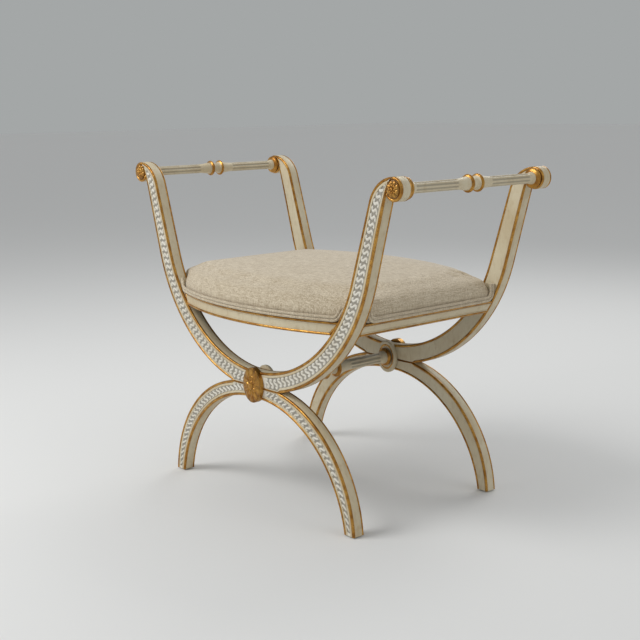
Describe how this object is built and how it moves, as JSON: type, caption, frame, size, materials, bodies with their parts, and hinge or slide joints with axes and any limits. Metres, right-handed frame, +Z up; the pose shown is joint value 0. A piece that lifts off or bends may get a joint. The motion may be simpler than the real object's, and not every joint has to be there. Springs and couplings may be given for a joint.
{
  "type": "x frame stool",
  "caption": "Curule window stool: two moulded X frames with scrolled arms and arched legs, turned fluted stretcher and hand rails, bowed upholstered seat with double welt",
  "frame": {"origin": "on the floor under the middle of the seat", "axes": "+X along the seat to the right-hand arm, +Y from front to back, +Z up"},
  "size_m": [0.848, 0.5126, 0.69],
  "materials": {
    "painted_wood": "aged off-white paint, rubbed, with gilt beads and mouldings",
    "gilt_wood": "carved and gilt, rubbed, satin",
    "bare_wood": "bare beech",
    "steel": "plain",
    "jute": "woven webbing",
    "hessian": "plain weave",
    "pad_filling": "foam under wadding",
    "linen": "heathered plain-weave linen",
    "cambric": "black cambric"
  },
  "bodies": {
    "root": {"back_cross_dowels": "bare_wood", "back_cross_rosette": "gilt_wood", "back_inner_boss": "painted_wood", "back_left_arm": "painted_wood", "back_left_leg": "painted_wood", "back_left_scroll_rosette": "gilt_wood", "back_rail_dowels": "bare_wood", "back_right_arm": "painted_wood", "back_right_leg": "painted_wood", "back_right_scroll_rosette": "gilt_wood", "back_seat_rail": "painted_wood", "back_welt": "linen", "burlap_deck": "hessian", "corner_block_screws": "steel", "corner_blocks": "bare_wood", "dust_cover": "cambric", "dust_cover_staples": "steel", "foot_glides": "steel", "front_cross_dowels": "bare_wood", "front_cross_rosette": "gilt_wood", "front_inner_boss": "painted_wood", "front_left_arm": "painted_wood", "front_left_leg": "painted_wood", "front_left_scroll_rosette": "gilt_wood", "front_rail_dowels": "bare_wood", "front_right_arm": "painted_wood", "front_right_leg": "painted_wood", "front_right_scroll_rosette": "gilt_wood", "front_seat_rail": "painted_wood", "front_welt": "linen", "left_arm_rail": "painted_wood", "left_seat_rail": "painted_wood", "left_welt": "linen", "right_arm_rail": "painted_wood", "right_seat_rail": "painted_wood", "right_welt": "linen", "seat_cover": "linen", "seat_foam": "pad_filling", "seat_webbing": "jute", "side_rail_dowels": "bare_wood", "stretcher": "painted_wood", "webbing_staples": "steel"}
  },
  "joints": []
}
